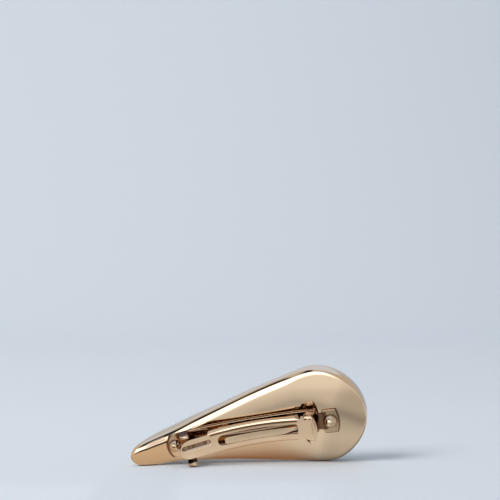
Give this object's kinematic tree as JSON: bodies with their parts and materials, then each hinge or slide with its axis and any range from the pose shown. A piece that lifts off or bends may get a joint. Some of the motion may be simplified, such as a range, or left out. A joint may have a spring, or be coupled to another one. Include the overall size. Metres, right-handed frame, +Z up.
{
  "type": "hair clip",
  "caption": "Teardrop barrette: a hollow bent drop with a flat back that carries a hinged French clasp with a sprung latch, lying on its side edge.",
  "frame": {"origin": "bottom centre of the box round the clip as it lies", "axes": "+X along the drop towards its round end, +Y from the clasp to the dome, +Z up from what it lies on"},
  "size_m": [0.09, 0.0248, 0.0379],
  "materials": {
    "plated_resin": "polished",
    "plated_metal": "polished"
  },
  "bodies": {
    "clip_base": {"drop_shell": "plated_resin", "clasp_plate": "plated_metal", "tip_rivet": "plated_metal", "end_rivet": "plated_metal", "hinge_pin": "plated_metal"},
    "arm": {"clasp_arm": "plated_metal", "tension_bar": "plated_metal"}
  },
  "joints": [
    {"name": "arm_hinge", "type": "hinge", "parent": "clip_base", "child": "arm", "pos_m": [0.02327, -0.00571, 0.01473], "axis": [-0.1485, -0.3409, 0.9283], "range_deg": [0, 70]}
  ]
}
